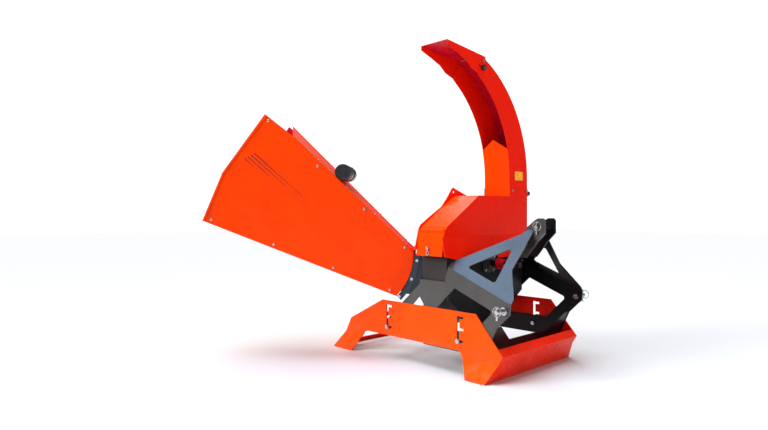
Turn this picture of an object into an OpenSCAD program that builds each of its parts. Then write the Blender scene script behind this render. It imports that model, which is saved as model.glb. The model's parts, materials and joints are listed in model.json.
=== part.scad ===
// Three-point-hitch disc wood chipper: black A-frame carrying a flywheel housing,
// a folding side-feed hopper, a swivelling discharge chute and a height-adjustable skid stand.
// Layout: +X toward the tractor, +Y toward the chute side, +Z up.
// Sizes below are measured from the ground and from the front face of the flywheel housing.
// The finished part is shifted so that the centre of the input shaft's end face is the origin.

/* [Rotor] */
// Height of the rotor axis above the ground
axis_z = 640; // [600:5:680]
// Radius of the flywheel disc
disc_r = 385; // [360:1:392]
// Thickness of the flywheel disc
disc_t = 24; // [16:1:32]
// Distance from the housing front face to the end of the input shaft
shaft_reach = 250; // [200:5:300]
// Diameter over the input shaft splines
spline_d = 34.9; // [30:0.1:44]

/* [Housing and hood] */
// Depth of the flywheel housing along the rotor axis
housing_x = 200; // [190:1:240]
// Outer radius of the lower housing shell
housing_r = 414; // [404:1:420]
// Height of the joint between lower housing and hood
split_z = 735; // [725:1:745]
// Height of the flat roof of the hood
roof_z = 1080; // [1070:5:1120]
// Distance from the rotor axis to the far wall of the hood
hood_far_y = 462; // [450:1:480]

/* [Discharge chute] */
// Width of the chute across the rotor plane
chute_x = 206; // [180:2:208]
// Depth of the chute at its foot
chute_y = 216; // [190:2:230]
// Outer bend radius of the chute
bend_outer_r = 835; // [780:5:860]
// Inner bend radius of the chute
bend_inner_r = 774; // [740:2:780]
// Angle swept by the bend
bend_sweep = 68; // [60:1:72]

/* [Feed hopper] */
// Angle between the feed direction and the rotor axis
feed_angle = 40; // [30:1:48]
// Splay of each hopper side wall
hopper_splay = 9; // [5:0.5:11]
// Half width of the hopper where it meets the throat
hopper_foot_w = 139; // [134:1:144]
// Sheet thickness of hopper, hood and chute
sheet = 3; // [2:0.5:4]

/* [Frame and stand] */
// Distance from the middle plane to the outer face of a frame side plate
frame_y = 412; // [400:1:430]
// Thickness of the frame side plates
plate_t = 8; // [6:1:10]
// Inward lean of the upper half of each side plate
facet_lean = 45.7; // [44:0.1:47]
// Height of the lower hitch pins above the ground
hitch_z = 422; // [400:2:440]
// Vertical distance from the lower pins to the top link pin
mast_h = 460; // [450:5:480]
// Diameter of the lower hitch pins
lower_pin_d = 28; // [22:1:28.5]
// Diameter of the top link pin
top_pin_d = 25; // [19:1:25]
// Height of the stand side plates
stand_h = 382; // [370:2:400]
// Length of the height slots in the stand
slot_len = 160; // [140:5:165]

/* [Hidden] */
$fn = 64;

ORANGE = "OrangeRed";
BLACK = "DimGray";
STEEL = "Silver";
RUBBER = "Black";

fit = 0.05;
gap = 0.5;
eps = 0.01;
bend_z = 1202;
arc_fn = 360;
chute_mid = [-housing_x / 2, hood_far_y - chute_y / 2];

// Points of an arc that replaces the corner at b between a and c.
function corner(a, b, c, r, n = 5) =
    let (
        u = (a - b) / norm(a - b),
        v = (c - b) / norm(c - b),
        half = acos(u * v) / 2,
        mid = b + (u + v) / norm(u + v) * r / sin(half),
        from = b + u * r / tan(half) - mid,
        to = b + v * r / tan(half) - mid,
        start = atan2(from[1], from[0]),
        turn = atan2(from[0] * to[1] - from[1] * to[0], from * to)
    )
    [for (i = [0 : n]) mid + r * [cos(start + turn * i / n), sin(start + turn * i / n)]];

// Outline with every corner rounded to radius r.
function rounded(pts, r) =
    let (n = len(pts))
    [for (i = [0 : n - 1]) each corner(pts[(i + n - 1) % n], pts[i], pts[(i + 1) % n], r)];

// Moves a sub-part from the ground and housing datum to the shaft-end datum.
module placed() {
    translate([-shaft_reach, 0, -axis_z]) children();
}

// Plate cut from a YZ drawing, spanning x to x + t.
module plate_yz(x, t) {
    translate([x, 0, 0]) rotate([90, 0, 90]) linear_extrude(t) children();
}

// Plate cut from an XZ drawing, spanning y - t to y.
module plate_xz(y, t) {
    translate([0, y, 0]) rotate([90, 0, 0]) linear_extrude(t) children();
}

// Cylinder that runs from p toward +X.
module rod_x(p, r, length) {
    translate(p) rotate([0, 90, 0]) cylinder(r = r, h = length);
}

// Cylinder that runs from p toward +Y.
module rod_y(p, r, length) {
    translate(p) rotate([-90, 0, 0]) cylinder(r = r, h = length);
}

// Hexagon head or nut, af across flats, rising along Z.
module hex(af, h) {
    cylinder(d = af / cos(30), h = h, $fn = 6);
}

// Hexagon-head bolt: head above z = 0, shank below it.
module bolt(d, length) {
    hex(1.6 * d, 0.65 * d);
    translate([0, 0, -length]) cylinder(d = d, h = length + d / 4);
}

// Copies the children to both sides of the middle plane.
module both_sides() {
    children();
    mirror([0, 1, 0]) children();
}

/* ---------- A-frame ---------- */

// Outline points of the lower, upright half of a side plate in X and Z.
bend_from = [9, 640];
bend_to = [452, 463];
plate_outline = [
    bend_from, bend_to, [448, 401], [360, 315], [335, 261], [272, 124], [230, 124],
    [205, 141], [-193, 141], [-193, 392], [-227, 439], [-262, 405], [-468, 200],
    [-468, 165], [-548, 165], [-560, 180], [-560, 222], [-227, 519], [-222, 549], [-14, 549], [-14, 573]
];
plate_window = [[59, 517], [322, 413], [324, 396], [190, 262], [-110, 262], [-110, 360]];
// Outline and window of the leaning upper half, measured along and up from the bend line.
facet_outline = [
    [0, 0], [-11, 33], [217, 433], [232, 494], [262, 494], [274, 450], [333, 197], [470, 37], [478, 0]
];
facet_window = [[98, 63], [240, 324], [314, 63]];
ear_outline = [
    [300, 830], [336, 882], [392, 926], [412, 936], [446, 936], [458, 922], [458, 846], [404, 790],
    [330, 695], [285, 695]
];
bend_turn = atan2(bend_from[1] - bend_to[1], bend_to[0] - bend_from[0]);
window_round = 14;
ear_y = 58;
ear_t = 12;
ear_face_y = ear_y + ear_t / 2;
top_pin = [407, hitch_z + mast_h];
lower_pin = [413, hitch_z];
stand_t = 8;
slot_w = 20;
slot_x = [-510, 92];
slot_z = 196;
bolt_z = slot_z + slot_w / 2;
bolt_d = 16;
pin_stud_d = 20;

module side_frame() {
    color(BLACK) difference() {
        union() {
            plate_xz(-frame_y + plate_t, plate_t) difference() {
                polygon(plate_outline);
                polygon(rounded(plate_window, window_round));
            }
            translate([bend_from[0], -frame_y, bend_from[1]])
                rotate([0, bend_turn, 0]) rotate([-facet_lean, 0, 0])
                    plate_xz(plate_t, plate_t) difference() {
                        polygon(facet_outline);
                        polygon(rounded(facet_window, window_round));
                    }
            plate_xz(ear_t - ear_face_y, ear_t) polygon(ear_outline);
        }
        rod_y([top_pin[0], -ear_y - ear_t, top_pin[1]], top_pin_d / 2 + fit, 2 * ear_t);
        rod_y([lower_pin[0], -frame_y - plate_t, lower_pin[1]], pin_stud_d / 2 + fit, 3 * plate_t);
        for (x = slot_x)
            rod_y([x, -frame_y - plate_t, bolt_z], bolt_d / 2 + fit, 3 * plate_t);
    }
}

module side_frame_near() {
    placed() side_frame();
}

module side_frame_far() {
    placed() mirror([0, 1, 0]) side_frame();
}

inner_y = frame_y - plate_t;
beam_foot = [266, 128];
beam_lean = 24.7;
beam_outline = [
    [inner_y, 8], [inner_y, 210], [inner_y - 50, 210], [205, 98], [-205, 98],
    [-inner_y + 50, 210], [-inner_y, 210], [-inner_y, 8]
];
beam_flange = 40;
beam_flange_inset = 60;

module front_cross_beam() {
    color(BLACK) placed()
        translate([beam_foot[0], 0, beam_foot[1]]) rotate([0, beam_lean, 0]) {
            plate_yz(-plate_t / 2, plate_t) polygon(beam_outline);
            translate([-beam_flange, beam_flange_inset - inner_y, beam_outline[0][1]])
                cube([beam_flange, 2 * (inner_y - beam_flange_inset), plate_t]);
        }
}

rear_beam = [-548, 172];
rear_beam_size = 45;

module rear_cross_beam() {
    color(BLACK) placed() translate([rear_beam[0], -inner_y, rear_beam[1]]) {
        cube([plate_t, 2 * inner_y, rear_beam_size]);
        translate([0, 0, rear_beam_size - plate_t]) cube([rear_beam_size / 2, 2 * inner_y, plate_t]);
    }
}

/* ---------- Flywheel housing ---------- */

wall = 6;
split_gap = 2;
ledge_lap = 15;
frame_room = 3;
feed_y = -129;
feed_box = [[-300, 434], [-20, 556]];
shaft_d = 45;
shaft_hole_r = 32;
bearing_bolt_r = 62;
bearing_body_r = 52;
bearing_bolt_d = 12;
bearing_flange_t = 14;
ledge_far_y = hood_far_y - 8;
ledge_near_y = -440;
ledge_z = split_z - split_gap - wall;
tab_outline = [[-inner_y, 610], [-inner_y, 430], [-330, 385], [330, 385], [inner_y, 430], [inner_y, 610]];

// Outline of a housing end plate in the YZ plane.
module housing_outline() {
    intersection() {
        union() {
            translate([0, axis_z]) circle(r = housing_r);
            polygon(tab_outline);
        }
        translate([-inner_y, 0]) square([2 * inner_y, split_z - split_gap]);
    }
}

module bearing_hole_pattern() {
    for (a = [45 : 90 : 315])
        translate([bearing_bolt_r * cos(a), axis_z + bearing_bolt_r * sin(a)])
            circle(d = bearing_bolt_d + 2 * fit);
}

module lower_housing() {
    color(BLACK) placed() difference() {
        housing_solid();
        both_sides() plate_xz(-inner_y, plate_t + frame_room) polygon(plate_outline);
    }
}

module housing_solid() {
    union() {
        plate_yz(-wall, wall) difference() {
            housing_outline();
            translate([0, axis_z]) circle(r = shaft_hole_r);
            bearing_hole_pattern();
        }
        plate_yz(-housing_x, wall) difference() {
            housing_outline();
            translate([0, axis_z]) circle(r = shaft_hole_r);
            bearing_hole_pattern();
            translate(feed_box[0]) square(feed_box[1] - feed_box[0]);
        }
        plate_yz(-housing_x, housing_x) intersection() {
            difference() {
                translate([0, axis_z]) circle(r = housing_r);
                translate([0, axis_z]) circle(r = housing_r - wall);
            }
            translate([-housing_r, 0]) square([2 * housing_r, split_z - split_gap]);
        }
        translate([-housing_x, ledge_near_y, ledge_z])
            cube([housing_x, -ledge_near_y - housing_r + ledge_lap, wall]);
        translate([-housing_x, housing_r - ledge_lap, ledge_z])
            cube([housing_x, ledge_far_y - housing_r + ledge_lap, wall]);
    }
}

// Flange bearing unit standing on the plane x = 0 and rising toward +X.
module flange_bearing() {
    flange_r = bearing_bolt_r + 18;
    flange_half = 62;
    corner_half = bearing_bolt_r + 10;
    body_h = 24;
    nose_r = 40;
    nose_h = 38;
    difference() {
        union() {
            intersection() {
                plate_yz(0, bearing_flange_t) circle(r = flange_r);
                plate_yz(0, bearing_flange_t) rotate(45) square(2 * corner_half, center = true);
                plate_yz(0, bearing_flange_t) square(2 * flange_half, center = true);
            }
            rod_x([0, 0, 0], bearing_body_r, body_h);
            rod_x([0, 0, 0], nose_r, nose_h);
        }
        rod_x([-1, 0, 0], shaft_d / 2 + fit, nose_h + 2);
        for (a = [45 : 90 : 315])
            translate([0, bearing_bolt_r * cos(a), bearing_bolt_r * sin(a)]) {
                rod_x([-1, 0, 0], bearing_bolt_d / 2 + fit, bearing_flange_t + 2);
                rod_x([bearing_flange_t, 0, 0], bearing_bolt_d, nose_h);
            }
    }
}

module front_bearing() {
    color(BLACK) placed() translate([0, 0, axis_z]) flange_bearing();
}

module rear_bearing() {
    color(BLACK) placed() translate([-housing_x, 0, axis_z]) mirror([1, 0, 0]) flange_bearing();
}

module bearing_bolts() {
    color(STEEL) placed() for (side = [0, 1])
        translate([-side * housing_x, 0, axis_z]) mirror([side, 0, 0])
            for (a = [45 : 90 : 315])
                translate([bearing_flange_t, bearing_bolt_r * cos(a), bearing_bolt_r * sin(a)])
                    rotate([0, 90, 0]) bolt(bearing_bolt_d, bearing_flange_t + wall + 4);
}

/* ---------- Rotor ---------- */

rotor_room = 14;
disc_x = -housing_x + wall + rotor_room;
hub_r = 60;
hub_x = 40;
hub_neck_r = 46;
hub_flange = [82, 12];
spline_len = 90;
spline_count = 6;
spline_slot = [9, 3];
spline_runout = 12;
groove_from_end = 38;
collar_x = 84;
groove_w = 7;
groove_depth = 2.5;
knife_count = 4;
knife_r = [110, 362];
knife_w = 75;
knife_t = 9;
knife_bevel = 12;
knife_overlap = 10;
chip_slot = 26;
knife_bolt_d = 12;
paddle_r = [120, 375];
paddle_t = 8;
paddle_lip = 34;
shaft_tail = 50;

module rotor_shaft() {
    tail = -housing_x - shaft_tail;
    color(STEEL) placed() translate([0, 0, axis_z]) {
        rod_x([tail, 0, 0], shaft_d / 2, shaft_reach - spline_len - tail);
        difference() {
            rod_x([shaft_reach - spline_len, 0, 0], spline_d / 2, spline_len);
            for (i = [0 : spline_count - 1])
                rotate([360 * i / spline_count, 0, 0])
                    translate([
                        shaft_reach - spline_len + spline_runout, spline_d / 2 - spline_slot[1], -spline_slot[0] / 2
                    ])
                        cube([spline_len, 2 * spline_slot[1], spline_slot[0]]);
            spline_groove();
        }
    }
}

// Collar clamped on the plain part of the input shaft.
module shaft_collar() {
    collar = [30, 54];
    rim = [36, 14];
    color("Crimson") placed() translate([collar_x, 0, axis_z]) difference() {
        union() {
            rod_x([0, 0, 0], collar[0], collar[1]);
            rod_x([0, 0, 0], rim[0], rim[1]);
        }
        rod_x([-1, 0, 0], shaft_d / 2, collar[1] + 2);
    }
}

// Ball-lock groove that runs round the splined end.
module spline_groove() {
    translate([shaft_reach - groove_from_end, 0, 0]) rotate([0, 90, 0]) difference() {
        cylinder(d = spline_d + 2, h = groove_w);
        translate([0, 0, -1]) cylinder(d = spline_d - 2 * groove_depth, h = groove_w + 2);
    }
}

module flywheel_disc() {
    color("SlateGray") placed() difference() {
        rod_x([disc_x, 0, axis_z], disc_r, disc_t);
        rod_x([disc_x - 1, 0, axis_z], hub_r, disc_t + 2);
        for (i = [0 : knife_count - 1])
            translate([0, 0, axis_z]) rotate([360 * i / knife_count, 0, 0])
                translate([disc_x - 1, knife_r[0], -knife_w / 2 - chip_slot])
                    cube([disc_t + 2, knife_r[1] - knife_r[0], chip_slot]);
    }
}

module disc_hub() {
    color("SlateGray") placed() difference() {
        union() {
            rod_x([disc_x, 0, axis_z], hub_r, disc_t);
            rod_x([disc_x + disc_t, 0, axis_z], hub_flange[0], hub_flange[1]);
            rod_x([disc_x + disc_t, 0, axis_z], hub_neck_r, hub_x);
        }
        rod_x([disc_x - 1, 0, axis_z], shaft_d / 2, disc_t + hub_x + 2);
    }
}

module chipper_knives() {
    color(STEEL) placed() translate([disc_x, 0, axis_z])
        for (i = [0 : knife_count - 1]) rotate([360 * i / knife_count, 0, 0])
            translate([0, knife_r[0] - knife_overlap, 0]) rotate([-90, 0, 0])
                linear_extrude(knife_r[1] - knife_r[0] + 2 * knife_overlap)
                    polygon([
                        [0, -knife_w / 2], [0, knife_w / 2], [-2, knife_w / 2],
                        [-knife_t, knife_w / 2 - knife_bevel], [-knife_t, -knife_w / 2]
                    ]);
}

module knife_bolts() {
    color(STEEL) placed() translate([disc_x + disc_t, 0, axis_z])
        for (i = [0 : knife_count - 1]) rotate([360 * i / knife_count, 0, 0])
            for (r = [knife_r[0] + 15, (knife_r[0] + knife_r[1]) / 2, knife_r[1] - 15])
                translate([0, r, 0]) rotate([0, 90, 0]) hex(1.6 * knife_bolt_d, 0.8 * knife_bolt_d);
}

module fan_paddles() {
    color("SlateGray") placed() translate([disc_x + disc_t, 0, axis_z])
        for (i = [0 : knife_count - 1]) rotate([45 + 360 * i / knife_count, 0, 0]) {
            translate([0, paddle_r[0], 0])
                cube([-disc_x - disc_t - wall - rotor_room, paddle_r[1] - paddle_r[0], paddle_t]);
            translate([0, paddle_r[0], paddle_t]) cube([paddle_t, paddle_r[1] - paddle_r[0], paddle_lip]);
        }
}

/* ---------- Feed throat ---------- */

// Outline of the hopper seen from the side: distance out along the feed axis, height.
hopper_foot = [249, 718];
hopper_heel = [352, 430];
mouth_low = [1572, 918];
mouth_bend = [1447, 1224];
mouth_high = [1182, 1597];
roof_near_s = 1008;
roof_far_s = 1150;
roof_end = [1008, 1458];
foot_arc_mid = [629, 705];
foot_arc_r = 390;
throat_half = 134.5;
throat_sheet = 4;
throat_top = [219, 698];
throat_low = [330, 446];
rim_w = 37;
hinge_r = 10;
hinge_pin_r = 5;
roof_slope = atan2(roof_end[1] - hopper_foot[1], roof_end[0] - hopper_foot[0]);
floor_slope = atan2(mouth_low[1] - hopper_heel[1], mouth_low[0] - hopper_heel[0]);
hinge_rise = 22;
hinge_mid = hopper_foot + hinge_rise * [-sin(roof_slope), cos(roof_slope)];

// Feed frame: X runs out along the hopper, Y toward the near side.
module feed_frame() {
    translate([-housing_x, feed_y, 0]) rotate([0, 0, 180 + feed_angle]) children();
}

// Solid duct between the housing wall and the hopper, shrunk by the sheet and lengthened by reach.
module duct(shrink, reach) {
    low = feed_box[0];
    size = feed_box[1] - feed_box[0];
    hull() {
        translate([-housing_x - 1 - reach, low[0] - throat_sheet + shrink, low[1] - throat_sheet + shrink])
            cube([1 + 2 * reach, size[0] + 2 * (throat_sheet - shrink), size[1] + 2 * (throat_sheet - shrink)]);
        feed_frame() rotate([90, 0, 0]) linear_extrude(2 * (throat_half - shrink), center = true)
            polygon([
                throat_low + [-reach, shrink], throat_low + [2 + reach, shrink],
                throat_top + [2 + reach, -shrink], throat_top + [-reach, -shrink]
            ]);
    }
}

// Curved rim plate that faces the foot of a hopper side wall.
module throat_rim() {
    plate_xz(throat_half + throat_sheet, throat_sheet) intersection() {
        difference() {
            translate(foot_arc_mid) circle(r = foot_arc_r + 1 + rim_w);
            translate(foot_arc_mid) circle(r = foot_arc_r + 1);
        }
        polygon([foot_arc_mid, foot_arc_mid - [600, 0], foot_arc_mid - [600, 600], foot_arc_mid - [450, 450]]);
    }
}

rim_bolts = [[337, 428], [257, 540], [222, 660]];
lock_bolt_d = 12;

module infeed_throat() {
    color("DarkSlateGray") placed() {
        difference() {
            duct(0, 0);
            duct(throat_sheet, 2);
        }
        difference() {
            feed_frame() both_sides() throat_rim();
            feed_frame() for (p = rim_bolts)
                rod_y([p[0], -throat_half - 10, p[1]], lock_bolt_d / 2 + fit, 2 * throat_half + 20);
        }
    }
}

module throat_lock_bolts() {
    head = 6;
    color(STEEL) placed() feed_frame() both_sides() for (p = rim_bolts) {
        rod_y([p[0], throat_half + throat_sheet, p[1]], lock_bolt_d * 0.8, head);
        rod_y([p[0], throat_half, p[1]], lock_bolt_d / 2, throat_sheet + 1);
    }
}

knife_bar = [3.8, 22];
bed_bolt_d = 10;

module bed_knife() {
    color(STEEL) placed() translate([wall - housing_x, feed_box[0][0], feed_box[0][1] - knife_bar[1]])
        cube([knife_bar[0], feed_box[1][0] - feed_box[0][0], knife_bar[1]]);
}

module bed_knife_bolts() {
    color(STEEL) placed()
        for (i = [0 : 2])
            translate([-housing_x, feed_box[0][0] + 50 + 90 * i, feed_box[0][1] - 2 * knife_bar[1]])
                rotate([0, -90, 0]) hex(1.6 * bed_bolt_d, 0.65 * bed_bolt_d);
}

/* ---------- Hitch ---------- */

pin_len = 82;
pin_collar = [23, 10];
pin_nut = [32, 16];
pin_end = 10;
top_pin_tail = 19;
linch_d = 10;
linch_top = 26;
linch_tip = -44;
linch_at = pin_len - pin_end;
top_linch_y = -ear_face_y - top_pin_tail + pin_end;
linch_head = 9;
linch_ring = [26, 2.5];
linch_ring_at = [10, 6.5];
linch_ring_y = -13.5;
linch_arm_r = 3;

// Lower hitch pin of the near side, pointing away from the machine.
module hitch_pin() {
    difference() {
        union() {
            rod_y([0, -pin_len, 0], lower_pin_d / 2, pin_len);
            rod_y([0, -pin_collar[1], 0], pin_collar[0], pin_collar[1]);
            rod_y([0, -1, 0], pin_stud_d / 2, plate_t + 1);
        }
        translate([0, -linch_at, -lower_pin_d]) cylinder(d = linch_d + 2 * fit, h = 2 * lower_pin_d);
    }
    translate([0, plate_t, 0]) rotate([-90, 0, 0]) hex(pin_nut[0], pin_nut[1]);
}

module lower_hitch_pins() {
    color(STEEL) placed() both_sides()
        translate([lower_pin[0], -frame_y, lower_pin[1]]) hitch_pin();
}

module top_link_pin() {
    head_h = 9;
    color(STEEL) placed() translate([top_pin[0], 0, top_pin[1]]) difference() {
        union() {
            rod_y([0, -ear_face_y - top_pin_tail, 0], top_pin_d / 2, 2 * ear_face_y + top_pin_tail + 2);
            rod_y([0, ear_face_y + gap, 0], top_pin_d * 0.8, head_h);
        }
        translate([0, top_linch_y, -top_pin_d]) cylinder(d = linch_d + 2 * fit, h = 2 * top_pin_d);
    }
}

// Spring-ring safety pin standing upright through a hitch pin.
module linchpin() {
    translate([0, 0, linch_tip]) cylinder(d = linch_d, h = linch_top - linch_tip);
    translate([0, 0, linch_top - eps]) cylinder(d = 1.7 * linch_d, h = linch_head);
    rod_y([0, linch_ring_y, linch_top + linch_head / 2], linch_arm_r, -linch_ring_y);
    translate([linch_ring_at[0], linch_ring_y, linch_ring_at[1]]) rotate([90, 0, 0]) rotate_extrude()
        translate([linch_ring[0], 0]) circle(r = linch_ring[1]);
}

module lower_linchpin_near() {
    color(STEEL) placed()
        translate([lower_pin[0], -frame_y - linch_at, lower_pin[1]]) linchpin();
}

module lower_linchpin_far() {
    color(STEEL) placed() mirror([0, 1, 0])
        translate([lower_pin[0], -frame_y - linch_at, lower_pin[1]]) linchpin();
}

module top_linchpin() {
    color(STEEL) placed()
        translate([top_pin[0], top_linch_y, top_pin[1]]) linchpin();
}

/* ---------- Skid stand ---------- */

foot_h = 113;
foot_out = 53;
stand_outline = [
    [-1019, 0], [-823, 0], [-757, foot_h], [-731, 150], [100, 150], [126, foot_h], [183, 0], [319, 0],
    [377, foot_h], [407, 162], [219, stand_h], [-561, stand_h], [-882, 220], [-941, foot_h]
];
pad_spans = [[-1003, -839], [199, 303]];
pad_w = 36;
notch_w = 16;
notch_reach = 50;
notch_count = 3;

end_slack = 0.1;

// Unit normal to the left of the segment from a to b.
function left_of(a, b) = [a[1] - b[1], b[0] - a[0]] / norm(b - a);

// Outline of a folded sheet of thickness t to the left of the profile points.
function folded(pts, t) =
    let (
        last = len(pts) - 1,
        n = [for (i = [0 : last - 1]) left_of(pts[i], pts[i + 1])],
        m = [for (i = [0 : last])
            i == 0 ? n[0] : i == last ? n[last - 1] : (n[i - 1] + n[i]) / (1 + n[i - 1] * n[i])]
    )
    concat(pts, [for (i = [last : -1 : 0]) pts[i] + t * m[i]]);

// Slot with side notches, drawn with its lower left corner at p.
module height_slot(p) {
    translate(p) {
        square([slot_w + gap, slot_len]);
        for (i = [0 : notch_count - 1])
            translate([0, 2 + i * (slot_len - notch_w - 4) / (notch_count - 1)]) square([notch_reach, notch_w]);
    }
}

module stand_side() {
    profile = [[-frame_y - foot_out, 0], [-frame_y, foot_h], [-frame_y, stand_h + 10]];
    length = 1500;
    color(ORANGE) {
        difference() {
            intersection() {
                plate_yz(-length / 2 - 300, length) polygon(folded(profile, stand_t));
                plate_xz(-frame_y + 1, foot_out + stand_t + 2) polygon(stand_outline);
            }
            plate_xz(-frame_y + 1, stand_t + 2)
                for (x = slot_x) height_slot([x - slot_w / 2 - gap / 2, slot_z - gap]);
        }
        for (span = pad_spans)
            translate([span[0], -frame_y - stand_t - foot_out, 0]) cube([span[1] - span[0], pad_w, stand_t]);
    }
}

module stand_side_near() {
    placed() stand_side();
}

module stand_side_far() {
    placed() mirror([0, 1, 0]) stand_side();
}

end_sheet = 5;
end_top = 230;
front_fold = [[319, 0], [377, foot_h], [407, 162], [374, 201]];
rear_fold = [[-1019, 0], [-941, foot_h], [-882, 220]];

// Folded sheet between the two stand sides; the children are windows in its front view.
module end_plate(profile, t, top) {
    wide = frame_y + foot_out - end_slack;
    narrow = frame_y - end_slack;
    from = min([for (p = profile) p[0]]) - 10;
    intersection() {
        plate_xz(wide, 2 * wide) polygon(folded(profile, t));
        plate_yz(from, 200) difference() {
            polygon([
                [-wide, 0], [wide, 0], [narrow, foot_h], [narrow, top], [-narrow, top], [-narrow, foot_h]
            ]);
            children();
        }
    }
}

module stand_front_plate() {
    color("Red") placed() end_plate(front_fold, end_sheet, end_top);
}

module stand_rear_plate() {
    window_half = frame_y - 40;
    windows = [[34, 46], [130, 52]];
    color(ORANGE) placed() end_plate(rear_fold, -end_sheet, end_top)
        for (w = windows)
            translate([-window_half, w[0]]) square([2 * window_half, w[1]]);
}

module stand_bolts() {
    washer = [15, 8.5];
    crown = [10.5, 4];
    reach = 20;
    face_y = -frame_y - stand_t - gap;
    color(STEEL) placed() both_sides() for (x = slot_x) {
        rod_y([x, face_y - washer[1], bolt_z], washer[0], washer[1]);
        rod_y([x, face_y - washer[1] - crown[1], bolt_z], crown[0], crown[1] + 1);
        rod_y([x, face_y - 1, bolt_z], bolt_d / 2, stand_t + plate_t + reach);
    }
}

module stand_nuts() {
    nut_h = 13;
    color(STEEL) placed() both_sides() for (x = slot_x)
        translate([x, -inner_y, bolt_z]) rotate([-90, 0, 0]) difference() {
            hex(1.6 * bolt_d, nut_h);
            translate([0, 0, -1]) cylinder(d = bolt_d + 2 * fit, h = nut_h + 2);
        }
}

/* ---------- Hood ---------- */

hood_over = 4;
skirt_z = 822;
skirt_low_z = 704;
hood_near_y = -462;
skirt_foot_y = -467;
hood_outline = [
    [hood_near_y, split_z], [-452, skirt_z], [-436, 862], [-412, 886], [-100, roof_z], [hood_far_y, roof_z],
    [hood_far_y, split_z]
];
skirt_lean = 10.6;
bearing_room = 72;
skirt_outline = [[-460, 0], [458, 0], [458, -118], [300, -152], [-316, -152], [-465, -120]];
ring_r = 88;
ring_h = 3;
latch_at = [-108, -459, 752];
latch_r = 5;

// Outline moved inward by d; the points run anticlockwise or clockwise with d of matching sign.
function inset(pts, d) =
    let (n = len(pts))
    [for (i = [0 : n - 1])
        let (
            u = (pts[i] - pts[(i + n - 1) % n]) / norm(pts[i] - pts[(i + n - 1) % n]),
            v = (pts[(i + 1) % n] - pts[i]) / norm(pts[(i + 1) % n] - pts[i]),
            a = [u[1], -u[0]],
            b = [v[1], -v[0]]
        )
        pts[i] + d * (a + b) / (1 + a * b)];

module hood_shell() {
    span = housing_x + 2 * hood_over;
    color(ORANGE) placed() difference() {
        union() {
            plate_yz(-housing_x - hood_over, span) polygon(hood_outline);
            plate_yz(-housing_x - hood_over, span)
                polygon([
                    [hood_near_y, split_z], [hood_near_y + sheet, split_z],
                    [skirt_foot_y + sheet, skirt_low_z], [skirt_foot_y, skirt_low_z]
                ]);
            translate([hood_over, 0, skirt_z]) rotate([0, -skirt_lean, 0])
                plate_yz(-sheet, sheet) polygon(skirt_outline);
        }
        translate([1, -bearing_room, axis_z]) cube([60, 2 * bearing_room, bearing_room]);
        plate_yz(-housing_x - hood_over + sheet, span - 2 * sheet) polygon(inset(hood_outline, sheet));
        translate([-housing_x - hood_over + sheet, hood_near_y + 1 + sheet, split_z - 1])
            cube([span - 2 * sheet, hood_far_y - hood_near_y - 1 - 2 * sheet, 12]);
        translate([chute_mid[0], chute_mid[1], roof_z - 20]) cylinder(r = ring_r + 2, h = 40);
        rod_y([latch_at[0], latch_at[1] - 20, latch_at[2]], latch_r + gap, 40);
    }
}

lug_outline = [
    [-478, 738], [-442, 866], [-425, 893], [-328, 950], [-223, 1008], [-172, 1060], [-116, 1130], [-103, 1137],
    [-90, 1130], [45, 1084], [45, 1010], [-200, 962], [-395, 846], [-440, 738]
];
lug_t = 6;
lug_hole = [-100, 1106];
lug_hole_r = 9;
lug_bolts = [[-120, 1040], [-40, 1050]];

module hood_lifting_lug() {
    color(ORANGE) placed() plate_yz(-housing_x - hood_over - lug_t, lug_t) difference() {
        polygon(lug_outline);
        translate(lug_hole) circle(r = lug_hole_r);
    }
}

module hood_stiffener_bolts() {
    color(STEEL) placed() for (p = lug_bolts)
        translate([-housing_x - hood_over - lug_t, p[0], p[1]]) rotate([0, -90, 0]) hex(17, 7);
}

hinge_y = hood_far_y + 12;
hinge_z = 728;
hood_pin_r = 6;
barrel_r = 11;
leaf_t = 5;
tongue_t = 8;
hood_knuckles = [-190, -60];
knuckle_len = 50;

module hinge_bore() {
    rod_x([-housing_x - 20, hinge_y, hinge_z], hood_pin_r + fit, housing_x + 40);
}

module hood_hinge_leaf() {
    color(ORANGE) placed() difference() {
        union() {
            for (x = hood_knuckles) {
                rod_x([x, hinge_y, hinge_z], barrel_r, knuckle_len);
                translate([x, hood_far_y, hinge_z]) cube([knuckle_len, leaf_t, 20]);
            }
            translate([hood_knuckles[0], hood_far_y, hinge_z + 16])
                cube([hood_knuckles[1] - hood_knuckles[0] + knuckle_len, leaf_t, 30]);
        }
        hinge_bore();
    }
}

module housing_hinge_leaf() {
    from = hood_knuckles[0] + knuckle_len + gap;
    length = hood_knuckles[1] - hood_knuckles[0] - knuckle_len - 2 * gap;
    color(BLACK) placed() difference() {
        union() {
            rod_x([from, hinge_y, hinge_z], barrel_r, length);
            translate([from, housing_r + 10, ledge_z - tongue_t])
                cube([length, hinge_y - housing_r - 10, tongue_t]);
        }
        hinge_bore();
    }
}

module hood_hinge_pin() {
    from = hood_knuckles[0] - 6;
    length = hood_knuckles[1] - hood_knuckles[0] + knuckle_len + 12;
    color(STEEL) placed() {
        rod_x([from, hinge_y, hinge_z], hood_pin_r, length);
        rod_x([from - leaf_t, hinge_y, hinge_z], hood_pin_r + 3, leaf_t);
    }
}

module latch_screw() {
    color(STEEL) placed() {
        rod_y([latch_at[0], latch_at[1] - 20, latch_at[2]], latch_r, 23);
        rod_y([latch_at[0], latch_at[1] - 5.5, latch_at[2]], latch_r + 5, 3);
    }
}

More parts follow.
